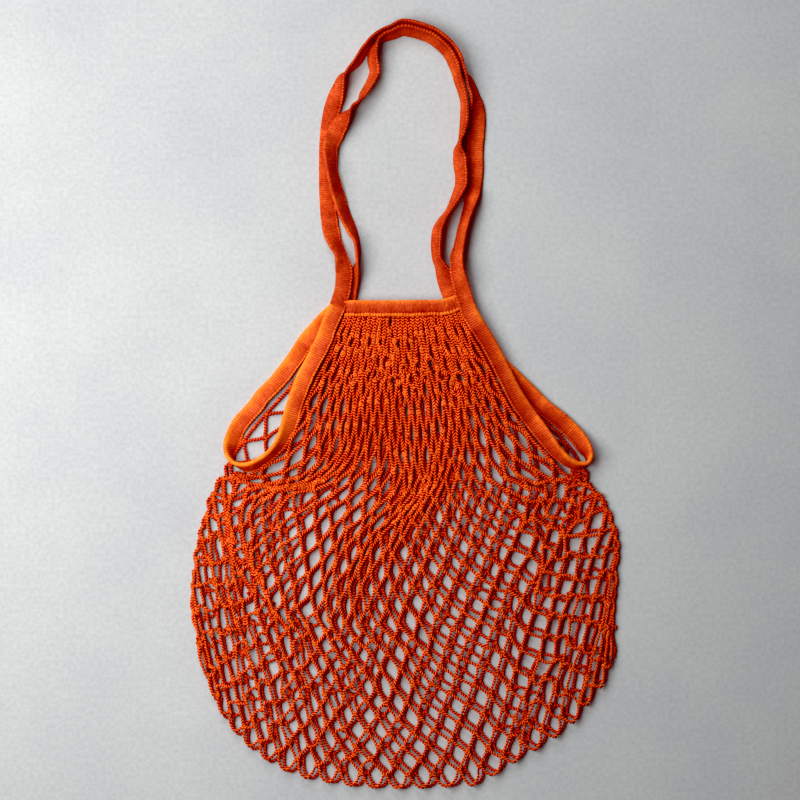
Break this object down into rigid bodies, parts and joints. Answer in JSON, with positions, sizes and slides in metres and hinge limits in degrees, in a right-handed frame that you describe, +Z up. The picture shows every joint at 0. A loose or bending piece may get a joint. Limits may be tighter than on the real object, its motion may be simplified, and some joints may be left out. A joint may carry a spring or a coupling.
{
  "type": "mesh shopping tote",
  "caption": "Empty cotton net shopping bag lying flat, with a taped mouth, taped side slits and long tape carrying handles.",
  "frame": {"origin": "on the surface the bag lies on, under the middle of its bounding box", "axes": "+Z up out of the shown side, +Y towards the handles, +X to the right of the shown side"},
  "size_m": [0.3869, 0.6935, 0.0195],
  "materials": {
    "net_yarn": "matte twisted cotton yarn",
    "tape": "matte ribbed cotton tape"
  },
  "bodies": {
    "root": {"net": "net_yarn", "hem_front": "tape", "hem_back": "tape", "binding_left": "tape", "binding_right": "tape", "handle_front": "tape", "handle_back": "tape"}
  },
  "joints": []
}
